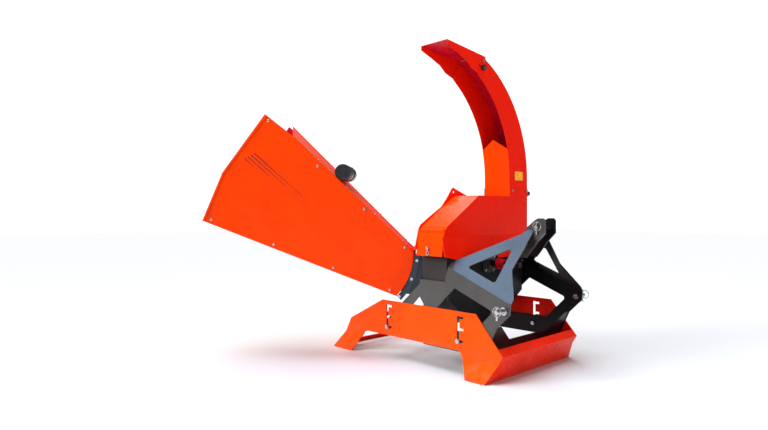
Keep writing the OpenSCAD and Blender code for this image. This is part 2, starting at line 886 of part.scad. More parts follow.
module latch_wing() {
    hub_h = 10;
    wing_t = 5;
    eye_at = 30;
    eye_r = 13;
    eye_hole_r = 8;
    color(STEEL) placed() translate([latch_at[0], latch_at[1] - 6, latch_at[2]]) rotate([90, 0, 0]) difference() {
        union() {
            cylinder(r = latch_r + 5, h = hub_h);
            translate([-4, 4 - eye_at, 2]) cube([8, eye_at - 10, wing_t]);
            translate([0, -eye_at, 2]) cylinder(r = eye_r, h = wing_t);
        }
        translate([0, 0, -1]) cylinder(r = latch_r + fit, h = hub_h + 2);
        translate([0, -eye_at, -1]) cylinder(r = eye_hole_r, h = hub_h + 2);
    }
}

module latch_catch() {
    color(BLACK) placed()
        translate([latch_at[0] - 14, ledge_near_y - 12, ledge_z]) cube([28, 12, 36]);
}

/* ---------- Discharge chute ---------- */

turn_gap = 0.5;
plate_z = roof_z + ring_h + turn_gap;
plate_h = 8;
foot_z = plate_z + plate_h;
collar_h = 46.5;
collar_t = 3;
spigot_t = 5;
cover_z = [1404, 1470];
outer_mid = [hood_far_y - bend_outer_r, bend_z];
inner_y0 = hood_far_y - chute_y;
inner_mid = [inner_y0 - bend_inner_r, bend_z];
chute_x0 = chute_mid[0] - chute_x / 2;

// Sector about the centre of the outer bend, between two angles.
module bend_sector(from, to) {
    reach = 1.6 * bend_outer_r;
    mid = (from + to) / 2;
    polygon([
        outer_mid, outer_mid + reach * [cos(from), sin(from)],
        outer_mid + reach * [cos(mid), sin(mid)], outer_mid + reach * [cos(to), sin(to)]
    ]);
}

module chute_side_drawing() {
    translate([inner_y0, foot_z]) square([chute_y, bend_z - foot_z]);
    intersection() {
        difference() {
            translate(outer_mid) circle(r = bend_outer_r, $fn = arc_fn);
            translate(inner_mid) circle(r = bend_inner_r, $fn = arc_fn);
        }
        bend_sector(0, bend_sweep);
    }
}

// Inside of the duct, open toward the inner curve.
module chute_bore_drawing() {
    translate([inner_y0 - 10, foot_z - 1]) square([chute_y + 10 - sheet, bend_z - foot_z + 1]);
    intersection() {
        translate(outer_mid) circle(r = bend_outer_r - sheet, $fn = arc_fn);
        translate([outer_mid[0], bend_z]) square(bend_outer_r + 10);
    }
}

module chute_shell() {
    color(ORANGE) placed() difference() {
        plate_yz(chute_x0, chute_x) chute_side_drawing();
        plate_yz(chute_x0 + sheet, chute_x - 2 * sheet) chute_bore_drawing();
    }
}

module chute_cover() {
    color(ORANGE) placed() intersection() {
        plate_yz(chute_x0, chute_x) {
            translate([inner_y0 - sheet, foot_z]) square([sheet, bend_z - foot_z]);
            intersection() {
                difference() {
                    translate(inner_mid) circle(r = bend_inner_r, $fn = arc_fn);
                    translate(inner_mid) circle(r = bend_inner_r - sheet, $fn = arc_fn);
                }
                translate([inner_mid[0], bend_z - 1]) square([2 * bend_inner_r, 400]);
            }
        }
        plate_xz(hood_far_y, chute_y + 200) polygon([
            [chute_x0, foot_z], [chute_x0, cover_z[0]], [chute_mid[0], cover_z[1]],
            [chute_x0 + chute_x, cover_z[0]], [chute_x0 + chute_x, foot_z]
        ]);
    }
}

collar_near_y = inner_y0 - sheet - fit;
collar_size = [chute_x + 2 * collar_t, hood_far_y - collar_near_y + 2 * collar_t];

module chute_ring() {
    color(ORANGE) placed() difference() {
        translate([chute_x0 - collar_t, collar_near_y - collar_t, roof_z])
            cube([collar_size[0], collar_size[1], ring_h]);
        translate([chute_mid[0], chute_mid[1], roof_z - 1]) cylinder(r = ring_r, h = ring_h + 2);
    }
}

module chute_turntable() {
    lip = [95, 5];
    lip_z = roof_z - 14;
    color(ORANGE) placed() {
        difference() {
            translate([chute_x0 - collar_t, collar_near_y - collar_t, plate_z])
                cube([collar_size[0], collar_size[1], plate_h + collar_h]);
            translate([chute_x0, collar_near_y, foot_z])
                cube([chute_x, hood_far_y - collar_near_y, collar_h + 1]);
            translate([chute_mid[0], chute_mid[1], plate_z - 1])
                cylinder(r = ring_r - fit - spigot_t, h = plate_h + 2);
        }
        translate([chute_mid[0], chute_mid[1], lip_z]) difference() {
            union() {
                cylinder(r = ring_r - fit, h = plate_z - lip_z);
                cylinder(r = lip[0], h = lip[1]);
            }
            translate([0, 0, -1]) cylinder(r = ring_r - fit - spigot_t, h = plate_z - lip_z + 1);
        }
    }
}

module chute_collar_bolts() {
    color(STEEL) placed() for (y = [inner_y0 + 24, hood_far_y - 18], z = [foot_z + 28])
        translate([chute_x0 + chute_x + collar_t, y, z]) rotate([0, 90, 0]) hex(16, 7);
}

knob_r = 19;
lock_knob_at = [-14, 1104];

// Fluted clamping knob rising along Z from the origin.
module knob(r, h) {
    difference() {
        union() {
            cylinder(r = r * 0.55, h = h * 0.35);
            translate([0, 0, h * 0.3]) cylinder(r = r, h = h * 0.7);
        }
        for (i = [0 : 4])
            rotate([0, 0, 72 * i]) translate([1.25 * r, 0, -1]) cylinder(r = 0.45 * r, h = h + 2);
    }
}

module chute_lock_knob() {
    color(RUBBER) placed()
        translate([lock_knob_at[0], hood_far_y + collar_t + gap, lock_knob_at[1]])
            rotate([-90, 0, 0]) knob(knob_r, 40);
}

/* ---------- Deflector ---------- */

pivot = [-62, 1952];
pivot_r = 6;
stud = [-70, 1902];
stud_r = 5;
tilt = [-10, 40];
deflector_outline = [
    [-38, 1980], [-420, 2018], [-420, 1990], [-330, 1960], [-240, 1926], [-185, 1885], [-100, 1858],
    [-44, 1880], [-26, 1940]
];
deflector_x0 = chute_x0 - gap;
deflector_x1 = chute_x0 + chute_x + gap;

// Curved slot that lets the clamping stud follow the tilt.
module tilt_slot() {
    arm = norm(stud - pivot);
    rest = atan2(stud[1] - pivot[1], stud[0] - pivot[0]);
    slot_r = stud_r + 0.6;
    margin = 9;
    from = rest - tilt[1] - margin;
    to = rest - tilt[0] + margin;
    mid = (from + to) / 2;
    translate(pivot) intersection() {
        difference() {
            circle(r = arm + slot_r);
            circle(r = arm - slot_r);
        }
        polygon([
            [0, 0], 2 * arm * [cos(from), sin(from)],
            2.2 * arm * [cos(mid), sin(mid)], 2 * arm * [cos(to), sin(to)]
        ]);
    }
}

module deflector_hood() {
    top_from = deflector_outline[0] + 0.03 * (deflector_outline[1] - deflector_outline[0]);
    beyond = deflector_outline[0] + 1.1 * (deflector_outline[1] - deflector_outline[0]);
    drop = [0, -sheet];
    color(ORANGE) placed() difference() {
        plate_yz(deflector_x0 - sheet, deflector_x1 - deflector_x0 + 2 * sheet) polygon(deflector_outline);
        plate_yz(deflector_x0, deflector_x1 - deflector_x0) polygon([
            top_from + drop, beyond + drop, beyond - [0, 300], [0, 1700], [0, 2100], [top_from[0], 2100]
        ]);
        rod_x([deflector_x0 - 10, pivot[0], pivot[1]], pivot_r + fit, deflector_x1 - deflector_x0 + 20);
        plate_yz(deflector_x1 - 1, sheet + 2) tilt_slot();
    }
}

module deflector_pivots() {
    reach = gap + sheet + 0.5;
    color(STEEL) placed() for (side = [0, 1])
        translate([side == 0 ? chute_x0 : chute_x0 + chute_x, pivot[0], pivot[1]])
            mirror([1 - side, 0, 0]) {
                rod_x([0, 0, 0], pivot_r, reach + 1);
                rod_x([reach, 0, 0], pivot_r + 5, 6);
            }
}

module deflector_stud() {
    color(STEEL) placed() rod_x([chute_x0 + chute_x, stud[0], stud[1]], stud_r, 20);
}

module deflector_knob() {
    color(RUBBER) placed() difference() {
        translate([deflector_x1 + sheet + 1, stud[0], stud[1]]) rotate([0, 90, 0]) knob(knob_r, 24);
        rod_x([deflector_x1, stud[0], stud[1]], stud_r + fit, 20);
    }
}

/* ---------- Feed hopper ---------- */

lip_w = 12;
rivet_d = 16;
side_bolts = [
    [1163, 1554], [854, 1266], [559, 991], [300, 745],
    [1518, 926], [1129, 767], [755, 616], [396, 471]
];
tube_d = 100;
tube_span = [-70, 192];
tube_s = 735;
cap_len = 34;
cap_wall = 3;
strap = [52, 22, 16];
strap_at = [-40, 102];
tube_rise = 4;

// Half width of the hopper at distance s along the feed axis.
function half_width(s) = hopper_foot_w + (s - hopper_foot[0]) * tan(hopper_splay);

// Point of the side outline measured along the splayed wall.
function on_wall(p) = [(p[0] - hopper_foot[0]) / cos(hopper_splay), p[1]];

// Places a drawing on the near side wall; the outer face is Y = 0.
module near_wall() {
    feed_frame() translate([hopper_foot[0], hopper_foot_w, 0]) rotate([0, 0, hopper_splay]) children();
}

// Places a drawing on the far side wall.
module far_wall() {
    feed_frame() mirror([0, 1, 0])
        translate([hopper_foot[0], hopper_foot_w, 0]) rotate([0, 0, hopper_splay]) children();
}

module hopper_side() {
    foot = on_wall(hopper_foot);
    heel = on_wall(hopper_heel);
    low = on_wall(mouth_low);
    bend = on_wall(mouth_bend);
    high = on_wall(mouth_high);
    end = on_wall(roof_end);
    arc_mid = on_wall(foot_arc_mid);
    plate_xz(0, sheet) {
        polygon([foot, heel, low, bend, high, end]);
        intersection() {
            translate(arc_mid) circle(r = foot_arc_r);
            polygon([foot, foot - [60, 60], heel - [60, 60], heel]);
        }
    }
    plate_xz(4, 4 + eps) polygon([
        low, bend, high, high + [-lip_w, -lip_w], bend + [-lip_w, -2], low + [-lip_w, -lip_w * tan(floor_slope)]
    ]);
}

module hopper_side_near() {
    color(ORANGE) placed() near_wall() hopper_side();
}

module hopper_side_far() {
    color(ORANGE) placed() far_wall() hopper_side();
}

// Frame of the roof panel: X up the slope from the foot, Z out of the hopper.
module roof_frame() {
    feed_frame() translate([hopper_foot[0], 0, hopper_foot[1]]) rotate([0, -roof_slope, 0]) children();
}

// Inner half width left for a panel at distance s.
function panel_half(s) = half_width(s) - sheet / cos(hopper_splay) - gap;

module hopper_top() {
    near_end = (roof_near_s - hopper_foot[0]) / cos(roof_slope);
    far_end = (roof_far_s - hopper_foot[0]) / cos(roof_slope);
    color(ORANGE) placed() roof_frame() translate([0, 0, -sheet]) linear_extrude(sheet) polygon([
        [0, panel_half(hopper_foot[0])], [near_end, panel_half(roof_near_s)],
        [far_end, -panel_half(roof_far_s)], [0, -panel_half(hopper_foot[0])]
    ]);
}

module hopper_bottom() {
    run = norm(mouth_low - hopper_heel) - 2;
    color(ORANGE) placed() feed_frame() translate([hopper_heel[0], 0, hopper_heel[1]])
        rotate([0, -floor_slope, 0]) linear_extrude(sheet) polygon([
            [0, panel_half(hopper_heel[0])], [run, panel_half(mouth_low[0]) - gap],
            [run, gap - panel_half(mouth_low[0])], [0, -panel_half(hopper_heel[0])]
        ]);
}

// Round-headed bolt lying on the surface Z = 0.
module rivet() {
    cylinder(d = rivet_d, h = 3);
    translate([0, 0, 3 - eps]) cylinder(d1 = rivet_d, d2 = rivet_d / 2, h = 3);
}

module hopper_bolts() {
    color(STEEL) placed() {
        for (p = side_bolts) {
            near_wall() translate([on_wall(p)[0], 0, p[1]]) rotate([-90, 0, 0]) rivet();
            far_wall() translate([on_wall(p)[0], 0, p[1]]) rotate([-90, 0, 0]) rivet();
        }
        roof_frame() for (i = [0 : 3], side = [-1, 1])
            let (d = 90 + 250 * i)
            translate([d, side * (panel_half(hopper_foot[0] + d * cos(roof_slope)) - 16), 0]) rivet();
    }
}

hinge_half = 40;
hinge_outer = [60, 120];

module hopper_hinge_bore() {
    half = hinge_outer[1] + 20;
    feed_frame() rod_y([hinge_mid[0], -half, hinge_mid[1]], hinge_pin_r + fit, 2 * half);
}

module hopper_hinge_knuckles() {
    width = hinge_outer[1] - hinge_outer[0];
    color(ORANGE) placed() difference() {
        for (y = [-hinge_outer[1], hinge_outer[0]])
            roof_frame() plate_xz(y + width, width) {
                polygon([[-2, 0], [60, 0], [60, 5], [20, 5], [hinge_r - 1, hinge_rise], [-2, hinge_rise]]);
                translate([0, hinge_rise]) circle(r = hinge_r);
            }
        hopper_hinge_bore();
    }
}

module throat_hinge_knuckles() {
    color("DarkSlateGray") placed() difference() {
        feed_frame() {
            rod_y([hinge_mid[0], -hinge_half, hinge_mid[1]], hinge_r, 2 * hinge_half);
            translate([throat_top[0] - 4, -hinge_half, throat_top[1]])
                cube([12, 2 * hinge_half, hinge_mid[1] - throat_top[1] + 4]);
        }
        hopper_hinge_bore();
    }
}

module hopper_hinge_pin() {
    reach = hinge_outer[1] + 5;
    color(STEEL) placed() feed_frame() {
        rod_y([hinge_mid[0], -reach, hinge_mid[1]], hinge_pin_r, 2 * reach);
        rod_y([hinge_mid[0], -reach - 4, hinge_mid[1]], hinge_pin_r + 3, 4);
    }
}

// Frame of the document tube: Y along the tube, Z out of the roof panel.
module tube_frame() {
    roof_frame() translate([(tube_s - hopper_foot[0]) / cos(roof_slope), 0, tube_d / 2 + tube_rise]) children();
}

module document_tube() {
    color(RUBBER) placed() tube_frame() {
        difference() {
            union() {
                rod_y([0, tube_span[0], 0], tube_d / 2, tube_span[1] - tube_span[0]);
                for (y = strap_at)
                    translate([-strap[0] / 2, y, -tube_d / 2 - tube_rise]) cube(strap);
            }
            rod_y([0, tube_span[0] + cap_wall, 0], tube_d / 2 - cap_wall, tube_span[1] - tube_span[0]);
        }
    }
}

module tube_cap() {
    color(RUBBER) placed() tube_frame() difference() {
        rod_y([0, tube_span[1] + gap + cap_wall - cap_len, 0], tube_d / 2 + fit + cap_wall, cap_len);
        rod_y([0, tube_span[1] - cap_len, 0], tube_d / 2 + fit, cap_len + gap);
    }
}

side_frame_near();
side_frame_far();
front_cross_beam();
rear_cross_beam();
lower_housing();
infeed_throat();
bed_knife();
bed_knife_bolts();
throat_lock_bolts();
front_bearing();
rear_bearing();
bearing_bolts();
rotor_shaft();
shaft_collar();
flywheel_disc();
disc_hub();
chipper_knives();
knife_bolts();
fan_paddles();
lower_hitch_pins();
top_link_pin();
lower_linchpin_near();
lower_linchpin_far();
top_linchpin();
stand_bolts();
stand_nuts();
stand_side_near();
stand_side_far();
stand_front_plate();
stand_rear_plate();
hood_shell();
hood_lifting_lug();
hood_stiffener_bolts();
hood_hinge_leaf();
housing_hinge_leaf();
hood_hinge_pin();
latch_screw();
latch_wing();
latch_catch();
chute_ring();
chute_turntable();
chute_collar_bolts();
chute_lock_knob();
chute_shell();
chute_cover();
deflector_hood();
deflector_pivots();
deflector_knob();
deflector_stud();
hopper_side_near();
hopper_side_far();
hopper_top();
hopper_bottom();
hopper_bolts();
hopper_hinge_knuckles();
throat_hinge_knuckles();
hopper_hinge_pin();
document_tube();
tube_cap();
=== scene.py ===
import json
import math
import random

import bmesh
import bpy
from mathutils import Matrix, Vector


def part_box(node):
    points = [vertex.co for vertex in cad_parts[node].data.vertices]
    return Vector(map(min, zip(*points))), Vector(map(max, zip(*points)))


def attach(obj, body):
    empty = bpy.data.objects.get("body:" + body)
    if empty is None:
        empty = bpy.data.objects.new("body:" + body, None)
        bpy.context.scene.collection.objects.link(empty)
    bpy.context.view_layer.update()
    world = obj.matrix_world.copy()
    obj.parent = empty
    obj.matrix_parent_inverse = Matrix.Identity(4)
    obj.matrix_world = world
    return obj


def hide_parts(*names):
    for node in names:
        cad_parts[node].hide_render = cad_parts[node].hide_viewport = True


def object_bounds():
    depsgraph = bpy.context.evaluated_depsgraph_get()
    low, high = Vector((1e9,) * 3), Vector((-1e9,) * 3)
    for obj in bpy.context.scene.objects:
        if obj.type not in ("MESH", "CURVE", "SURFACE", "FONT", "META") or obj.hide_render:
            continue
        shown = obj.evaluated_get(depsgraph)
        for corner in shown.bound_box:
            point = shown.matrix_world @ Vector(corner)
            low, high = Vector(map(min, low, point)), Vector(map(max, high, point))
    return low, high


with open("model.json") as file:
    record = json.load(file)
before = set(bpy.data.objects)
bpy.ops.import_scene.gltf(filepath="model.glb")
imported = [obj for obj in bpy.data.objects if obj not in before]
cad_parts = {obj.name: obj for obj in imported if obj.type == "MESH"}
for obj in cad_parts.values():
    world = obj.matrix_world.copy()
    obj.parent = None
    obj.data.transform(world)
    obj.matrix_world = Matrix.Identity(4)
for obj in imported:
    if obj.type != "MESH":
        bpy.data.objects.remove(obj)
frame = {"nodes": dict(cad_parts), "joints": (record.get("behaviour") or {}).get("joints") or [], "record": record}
cad_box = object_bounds()
NODES = frame["nodes"]
JOINTS = {j["name"]: j for j in frame["joints"]}
GROUND = cad_box[0].z
UP = Vector((0, 0, 1))
FILM = 0.0002  # lift of a film over the sheet it sits on, metres
rng = random.Random(7)


# ---------------------------------------------------------------- materials

class Graph:
    """Small helper that builds one procedural material."""

    def __init__(self, name):
        self.mat = bpy.data.materials.new(name)
        self.mat.use_nodes = True
        self.tree = self.mat.node_tree
        self.tree.nodes.clear()
        self.out = self.add("ShaderNodeOutputMaterial")
        self.bsdf = self.add("ShaderNodeBsdfPrincipled")
        self.link(self.bsdf.outputs[0], self.out.inputs[0])
        self.coords = self.add("ShaderNodeTexCoord")

    def add(self, kind, **props):
        node = self.tree.nodes.new(kind)
        for key, value in props.items():
            setattr(node, key, value)
        return node

    def link(self, a, b):
        self.tree.links.new(a, b)

    def put(self, socket, value):
        if hasattr(value, "is_output"):
            self.link(value, socket)
        elif isinstance(value, (tuple, list)) and len(value) == 3 and socket.type == "RGBA":
            socket.default_value = (*value, 1.0)
        else:
            socket.default_value = value

    def set(self, **inputs):
        for key, value in inputs.items():
            self.put(self.bsdf.inputs[key.replace("_", " ")], value)

    def noise(self, scale, detail=3.0, rough=0.5, stretch=None):
        node = self.add("ShaderNodeTexNoise")
        node.inputs["Scale"].default_value = scale
        node.inputs["Detail"].default_value = detail
        node.inputs["Roughness"].default_value = rough
        source = self.coords.outputs["Object"]
        if stretch:
            mapping = self.add("ShaderNodeMapping")
            mapping.inputs["Scale"].default_value = stretch
            self.link(source, mapping.inputs["Vector"])
            source = mapping.outputs[0]
        self.link(source, node.inputs["Vector"])
        return node.outputs["Fac"]

    def ramp(self, value, low, high, a=0.0, b=1.0):
        node = self.add("ShaderNodeMapRange", clamp=True, interpolation_type="SMOOTHSTEP")
        self.put(node.inputs["Value"], value)
        node.inputs["From Min"].default_value = low
        node.inputs["From Max"].default_value = high
        node.inputs["To Min"].default_value = a
        node.inputs["To Max"].default_value = b
        return node.outputs["Result"]

    def math(self, op, a, b=0.0):
        node = self.add("ShaderNodeMath", operation=op)
        self.put(node.inputs[0], a)
        self.put(node.inputs[1], b)
        return node.outputs[0]

    def mix(self, fac, a, b):
        node = self.add("ShaderNodeMix", data_type="RGBA")
        self.put(node.inputs[0], fac)
        self.put(node.inputs[6], a)
        self.put(node.inputs[7], b)
        return node.outputs[2]

    def dot(self, a, b):
        node = self.add("ShaderNodeVectorMath", operation="DOT_PRODUCT")
        self.put(node.inputs[0], a)
        self.put(node.inputs[1], b)
        return node.outputs["Value"]

    def edge_mask(self, radius):
        """1 along sharp edges, 0 on flats; also returns the rounded normal."""
        bevel = self.add("ShaderNodeBevel", samples=4)
        bevel.inputs["Radius"].default_value = radius
        geo = self.add("ShaderNodeNewGeometry")
        flat = self.dot(bevel.outputs[0], geo.outputs["Normal"])
        return self.ramp(flat, 0.995, 0.90), bevel.outputs[0]

    def bump(self, height, strength, distance, normal=None):
        node = self.add("ShaderNodeBump")
        node.inputs["Strength"].default_value = strength
        node.inputs["Distance"].default_value = distance
        self.put(node.inputs["Height"], height)
        if normal is not None:
            self.link(normal, node.inputs["Normal"])
        return node.outputs[0]


def paint(
    name, base, worn, inner=None, middle=None, front=None,
    rough=0.30, dust=0.0, chips=0.35, edge=0.0018, coat=0.0, sheen=0.10,
):
    """Powder-coated sheet: peel texture, small edge chips, soft dust low down.

    Faces that look toward the point middle take the colour inner, a painted shade, and faces
    that look along +X the colour front, also a painted shade.
    """
    g = Graph(name)
    mottled = g.noise(7.0, 4.0, 0.6)
    shade = tuple(c * 0.86 for c in base)
    colour = g.mix(g.ramp(mottled, 0.35, 0.70), base, shade)
    # Painted shade: faces that look toward middle take the darker colour inner.
    if inner is not None:
        out = g.add("ShaderNodeVectorMath", operation="SUBTRACT")
        g.link(g.coords.outputs["Object"], out.inputs[0])
        out.inputs[1].default_value = middle
        side = g.dot(g.coords.outputs["Normal"], out.outputs[0])
        cloudy = g.ramp(g.noise(11.0, 5.0, 0.65), 0.35, 0.7)
        inner_shade_colour = g.mix(cloudy, inner, tuple(c * 0.72 for c in inner))
        colour = g.mix(g.ramp(side, 0.002, -0.002), colour, inner_shade_colour)
    # Painted shade: faces that look along +X take the darker colour front.
    if front is not None:
        facing = g.dot(g.coords.outputs["Normal"], (1.0, 0.0, 0.0))
        colour = g.mix(g.ramp(facing, 0.80, 0.92), colour, front)
    mask, rounded = g.edge_mask(edge)
    speckle = g.ramp(g.noise(260.0, 5.0, 0.7), 0.56, 0.66)
    chip = g.math("MULTIPLY", g.math("MULTIPLY", mask, speckle), chips)
    colour = g.mix(chip, colour, worn)
    scuff = g.ramp(g.noise(34.0, 8.0, 0.75, (1.0, 1.0, 0.25)), 0.66, 0.80)
    if dust > 0:
        place = g.add("ShaderNodeSeparateXYZ")
        g.link(g.coords.outputs["Object"], place.inputs[0])
        low = g.ramp(place.outputs["Z"], GROUND + 0.26, GROUND, 0.0, dust)
        patchy = g.ramp(g.noise(16.0, 6.0, 0.7), 0.38, 0.72)
        colour = g.mix(g.math("MULTIPLY", low, patchy), colour, (0.50, 0.42, 0.34))
    g.set(Base_Color=colour, Specular_IOR_Level=sheen, Coat_Weight=coat, Coat_Roughness=0.12)
    uneven = g.ramp(mottled, 0.3, 0.8, rough - 0.05, rough + 0.07)
    g.set(Roughness=g.math("ADD", g.math("MULTIPLY", scuff, 0.14), uneven))
    peel = g.bump(g.noise(520.0, 2.0, 0.5), 0.10, 0.0006, rounded)
    g.set(Normal=g.bump(g.noise(5.0, 2.0, 0.5), 0.05, 0.004, peel))
    return g.mat


def metal(name, base, tint, rough=0.28, grain=None, spots=0.2):
    """Plated or machined metal with faint clouding, grain and small dark stains."""
    g = Graph(name)
    cloud = g.noise(42.0, 5.0, 0.6)
    colour = g.mix(g.ramp(cloud, 0.35, 0.7), base, tint)
    stain = g.ramp(g.noise(180.0, 6.0, 0.75), 0.60, 0.74, 0.0, spots)
    colour = g.mix(stain, colour, tuple(c * 0.30 for c in base))
    mask, rounded = g.edge_mask(0.0012)
    # Painted highlight: edges are lightened toward bright steel.
    colour = g.mix(g.math("MULTIPLY", mask, 0.4), colour, (0.86, 0.87, 0.88))
    g.set(Base_Color=colour, Metallic=1.0)
    g.set(Roughness=g.math("ADD", g.ramp(cloud, 0.3, 0.75, rough - 0.07, rough + 0.10), stain))
    fine = g.noise(900.0, 2.0, 0.5, grain) if grain else g.noise(700.0, 2.0, 0.5)
    g.set(Normal=g.bump(fine, 0.12, 0.0004, rounded))
    return g.mat


def plastic(name, base, rough=0.42):
    """Moulded plastic with a fine spark texture and a painted highlight along its edges."""
    g = Graph(name)
    mask, rounded = g.edge_mask(0.0015)
    cloud = g.ramp(g.noise(30.0, 4.0, 0.6), 0.35, 0.7)
    colour = g.mix(cloud, base, tuple(c * 1.7 + 0.004 for c in base))
    # Painted highlight: edges are lightened toward dark grey.
    colour = g.mix(g.math("MULTIPLY", mask, 0.5), colour, (0.10, 0.10, 0.105))
    g.set(Base_Color=colour)
    g.set(Roughness=g.ramp(g.noise(90.0, 3.0, 0.5), 0.3, 0.7, rough - 0.06, rough + 0.10))
    g.set(Normal=g.bump(g.noise(1300.0, 2.0, 0.5), 0.22, 0.0004, rounded))
    return g.mat


def casting(name, base):
    """Painted sand casting: grainy skin under thick paint."""
    g = Graph(name)
    mask, rounded = g.edge_mask(0.003)
    cloud = g.ramp(g.noise(55.0, 5.0, 0.65), 0.35, 0.7)
    colour = g.mix(cloud, base, tuple(c * 0.6 for c in base))
    # Painted highlight: edges are lightened toward a warm grey.
    colour = g.mix(g.math("MULTIPLY", mask, 0.3), colour, (0.35, 0.30, 0.28))
    g.set(Base_Color=colour, Coat_Weight=0.2)
    g.set(Roughness=g.ramp(g.noise(80.0), 0.3, 0.7, 0.40, 0.58))
    g.set(Normal=g.bump(g.noise(240.0, 5.0, 0.65), 0.45, 0.0012, rounded))
    return g.mat


def unit(v):
    return Vector(v).normalized()


def dominant_face(node, toward):
    """Normal, a point and the corners of a sheet's largest flat face that looks in a direction."""
    mesh = NODES[node].data
    groups = {}
    for poly in mesh.polygons:
        n = poly.normal
        if n.dot(toward) <= 0.1:
            continue
        key = (round(n.x, 2), round(n.y, 2), round(n.z, 2), round(poly.center.dot(n), 3))
        groups.setdefault(key, []).append(poly)
    best = max(groups.values(), key=lambda ps: sum(p.area for p in ps))
    corners = [mesh.vertices[i].co.copy() for p in best for i in p.vertices]
    return best[0].normal.copy(), best[0].center.copy(), corners


# Painted shade: a dark red for faces inside the hopper, chute and deflector.
INNER_SHADE_RED = (0.60, 0.005, 0.020)
ORANGE = (1.0, 0.052, 0.0004)
SHADED_ORANGE = (0.95, 0.012, 0.0004)
STAND_ORANGE = (1.0, 0.070, 0.0004)
# Painted shade: a darker, redder orange for the stand's front plate, which looks along +X.
SHADED_FRONT_ORANGE = (0.95, 0.020, 0.001)
# Painted shade: a darker red for the inner faces of the stand's plates.
STAND_INNER_SHADE_RED = (0.95, 0.010, 0.002)
# Painted shade: near black for the lower housing's faces that look along +X.
FRONT_SHADOW_BLACK = (0.010, 0.010, 0.011)
PRIMER = (0.30, 0.27, 0.25)
BARE_STEEL = (0.34, 0.33, 0.32)
UNDER_STAND = (0.0, 0.0, -0.4)  # between the stand's plates, so their inner faces look at it and take the painted shade
TURNED = (1.0, 14.0, 14.0)  # grain around a part that lies along X
GROUND_GRAIN = (16.0, 1.0, 1.0)
FOLD_AXIS = unit(JOINTS["hopper_fold"]["axis"])

# Painted shade: the hood's faces that look along +X take a darker orange.
hood_paint = paint("hood_paint", ORANGE, PRIMER, front=SHADED_ORANGE)
# Painted shade: the inner faces of the stand's plates take a darker red.
stand_paint = paint(
    "stand_paint", STAND_ORANGE, PRIMER, STAND_INNER_SHADE_RED, UNDER_STAND, dust=0.10, chips=0.6
)
# Painted shade: the stand's front plate is a darker, redder copy of the stand's orange.
shaded_front_paint = paint("shaded_front_paint", SHADED_FRONT_ORANGE, PRIMER, dust=0.10, chips=0.6)
frame_paint = paint(
    "frame_paint", (0.046, 0.040, 0.037), BARE_STEEL,
    rough=0.26, dust=0.08, coat=0.40, sheen=0.5,
)
# Painted shade: the housing's faces that look along +X are painted near black.
housing_paint = paint(
    "housing_paint", (0.040, 0.036, 0.034), BARE_STEEL, front=FRONT_SHADOW_BLACK, rough=0.42, sheen=0.12
)
# Painted shade: a near-black copy of the frame's dark grey paint, for the frame (all but its near side frame) and
# its welds.
shaded_frame_paint = paint(
    "shaded_frame_paint", (0.004, 0.004, 0.005), (0.16, 0.16, 0.16), rough=0.36, sheen=0.25
)
slate_paint = paint(
    "slate_paint", (0.022, 0.032, 0.048), (0.30, 0.30, 0.30), rough=0.34, sheen=0.5
)
rotor_paint = paint(
    "rotor_paint", (0.030, 0.030, 0.033), (0.40, 0.38, 0.36), rough=0.45, chips=0.8
)
zinc = metal("zinc", (0.66, 0.67, 0.68), (0.58, 0.57, 0.53), 0.26)
machined = metal("machined", (0.55, 0.56, 0.57), (0.46, 0.46, 0.47), 0.30, TURNED)
ground_edge = metal("ground_edge", (0.60, 0.61, 0.63), (0.50, 0.50, 0.52), 0.20, GROUND_GRAIN)
black_plastic = plastic("black_plastic", (0.011, 0.011, 0.012))
blackened = metal("blackened", (0.045, 0.045, 0.048), (0.030, 0.028, 0.027), 0.42, TURNED)
black_casting = casting("black_casting", (0.016, 0.016, 0.018))
collar_paint = paint("collar_paint", (0.42, 0.006, 0.012), PRIMER, rough=0.34)

LOOKS = {
    "frame_black": shaded_frame_paint, "hood_orange": hood_paint, "hopper_orange": hood_paint,
    "stand_orange": stand_paint, "throat_slate": slate_paint, "zinc": zinc,
    "machined_steel": machined, "rotor_paint": rotor_paint, "cast_housing": black_casting,
    "crimson_paint": collar_paint, "black_plastic": black_plastic,
}
for part in frame["record"]["subparts"]:
    mesh = NODES[part["node"]].data
    mesh.materials.clear()
    mesh.materials.append(LOOKS[part["material_slot"]])


def dress(node, material):
    NODES[node].data.materials[0] = material


# The near side frame keeps the dark grey paint; the rest of the frame takes a near-black painted-shade copy.
dress("side_frame_near", frame_paint)
dress("lower_housing", housing_paint)
dress("stand_front_plate", shaded_front_paint)
dress("rotor_shaft", blackened)
for name in ("bed_knife", "chipper_knives"):
    dress(name, ground_edge)


def middle_of(*names):
    """Mean of the box centres of some nodes."""
    centres = [(lo + hi) / 2 for lo, hi in (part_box(n) for n in names)]
    return sum(centres, Vector()) / len(centres)


HOPPER_SHEETS = ("hopper_top", "hopper_bottom", "hopper_side_near", "hopper_side_far")
# Painted shade: the hopper's faces that look toward its middle take a darker red.
hopper_paint = paint("hopper_paint", ORANGE, PRIMER, INNER_SHADE_RED, middle_of(*HOPPER_SHEETS))
for name in HOPPER_SHEETS:
    dress(name, hopper_paint)

# The chute bends around a point level with the top of its straight foot; faces that look toward it take a painted
# shade of red, and faces that look along +X a painted shade of orange.
BEND_R = 0.835
CHUTE_FOOT = 0.1105
bend_lo, bend_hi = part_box("chute_shell")
bend_mid = Vector(((bend_lo.x + bend_hi.x) / 2, bend_hi.y - BEND_R, bend_lo.z + CHUTE_FOOT))
dress("chute_shell", paint("chute_paint", ORANGE, PRIMER, INNER_SHADE_RED, bend_mid, SHADED_ORANGE))
